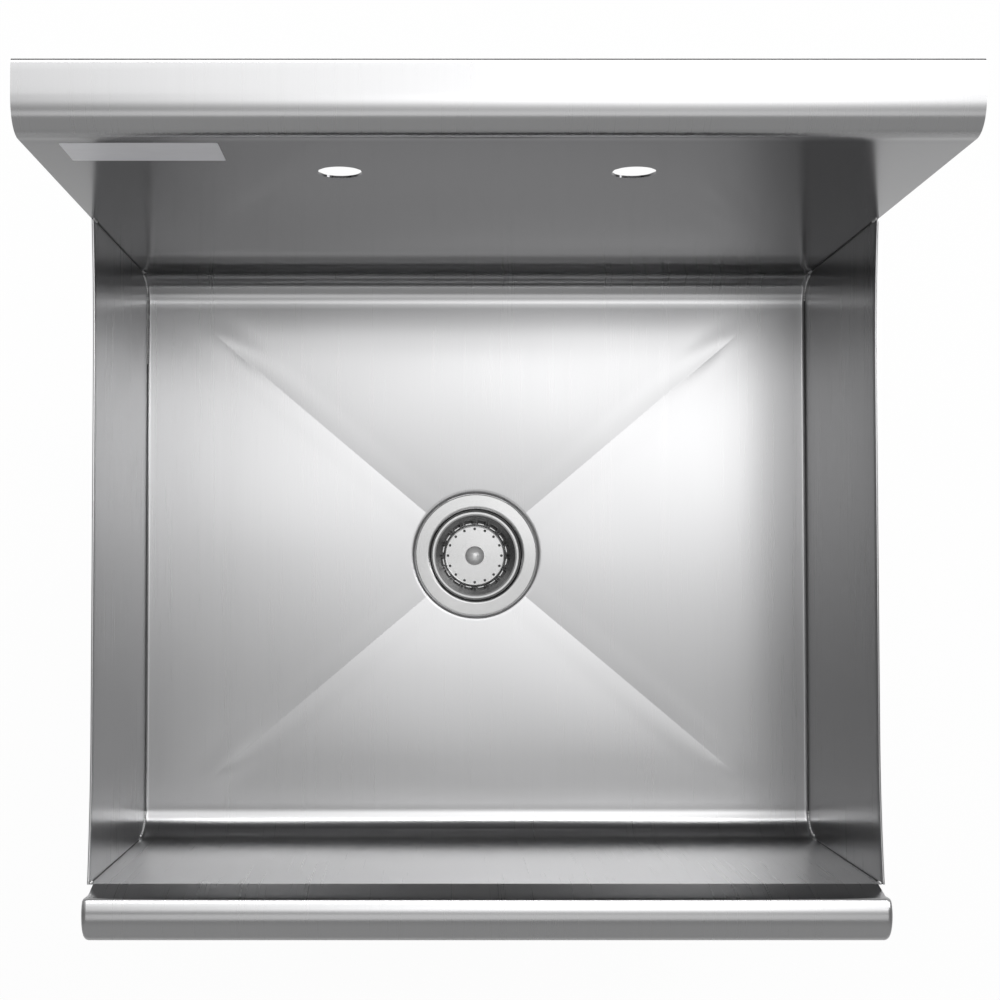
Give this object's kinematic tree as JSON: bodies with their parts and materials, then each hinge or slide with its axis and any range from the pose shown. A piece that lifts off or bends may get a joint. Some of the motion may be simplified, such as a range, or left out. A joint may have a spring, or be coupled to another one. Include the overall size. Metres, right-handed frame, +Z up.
{
  "type": "mop service sink",
  "caption": "Free-standing stainless steel mop sink with a deep coved bowl, splashback with tap holes, rolled front edge, lift-out strainer basket and levelling feet.",
  "frame": {"origin": "on the ground, under the middle of the sink's outer box", "axes": "+X to the right as one stands before the sink, +Y to the back, +Z up"},
  "size_m": [0.6128, 0.6022, 0.965],
  "materials": {
    "sheet": "stainless sheet, fine grain from front to back",
    "weld": "ground weld",
    "polished_steel": "polished stainless, turned marks on the flange",
    "rubber": "matt",
    "fibre": "pressed fibre",
    "plated_brass": "plated, satin",
    "plastic": "moulded",
    "tube": "satin",
    "fixing": "blackened",
    "foot": "satin"
  },
  "bodies": {
    "sink": {"body_sheet": "sheet", "side_panel_left": "sheet", "side_panel_right": "sheet", "corner_welds": "weld", "splash_end_cap_left": "sheet", "splash_end_cap_right": "sheet", "roll_end_cap_left": "sheet", "roll_end_cap_right": "sheet", "strainer_body": "polished_steel", "strainer_seal": "rubber", "friction_ring": "fibre", "lock_nut": "plated_brass", "tailpiece_washer": "plastic", "tailpiece": "plated_brass", "coupling_nut": "plated_brass", "leg_socket_front_left": "tube", "leg_socket_front_right": "tube", "leg_socket_back_left": "tube", "leg_socket_back_right": "tube", "leg_front_left": "tube", "leg_front_right": "tube", "leg_back_left": "tube", "leg_back_right": "tube", "socket_screws": "fixing", "foot_insert_front_left": "plastic", "foot_insert_front_right": "plastic", "foot_insert_back_left": "plastic", "foot_insert_back_right": "plastic"},
    "basket": {"basket_cup": "polished_steel", "basket_knob_post": "polished_steel", "basket_stopper": "rubber", "basket_clip": "polished_steel"},
    "foot_front_left": {"foot_front_left": "foot"},
    "foot_front_right": {"foot_front_right": "foot"},
    "foot_back_left": {"foot_back_left": "foot"},
    "foot_back_right": {"foot_back_right": "foot"}
  },
  "joints": [
    {"name": "basket_lift", "type": "slide", "parent": "sink", "child": "basket", "axis": [0, 0, 1], "range_m": [0, 0.12]},
    {"name": "foot_screw_front_left", "type": "slide", "parent": "sink", "child": "foot_front_left", "axis": [0, 0, -1], "range_m": [-0.01, 0.015]},
    {"name": "foot_screw_front_right", "type": "slide", "parent": "sink", "child": "foot_front_right", "axis": [0, 0, -1], "range_m": [-0.01, 0.015]},
    {"name": "foot_screw_back_left", "type": "slide", "parent": "sink", "child": "foot_back_left", "axis": [0, 0, -1], "range_m": [-0.01, 0.015]},
    {"name": "foot_screw_back_right", "type": "slide", "parent": "sink", "child": "foot_back_right", "axis": [0, 0, -1], "range_m": [-0.01, 0.015]}
  ]
}
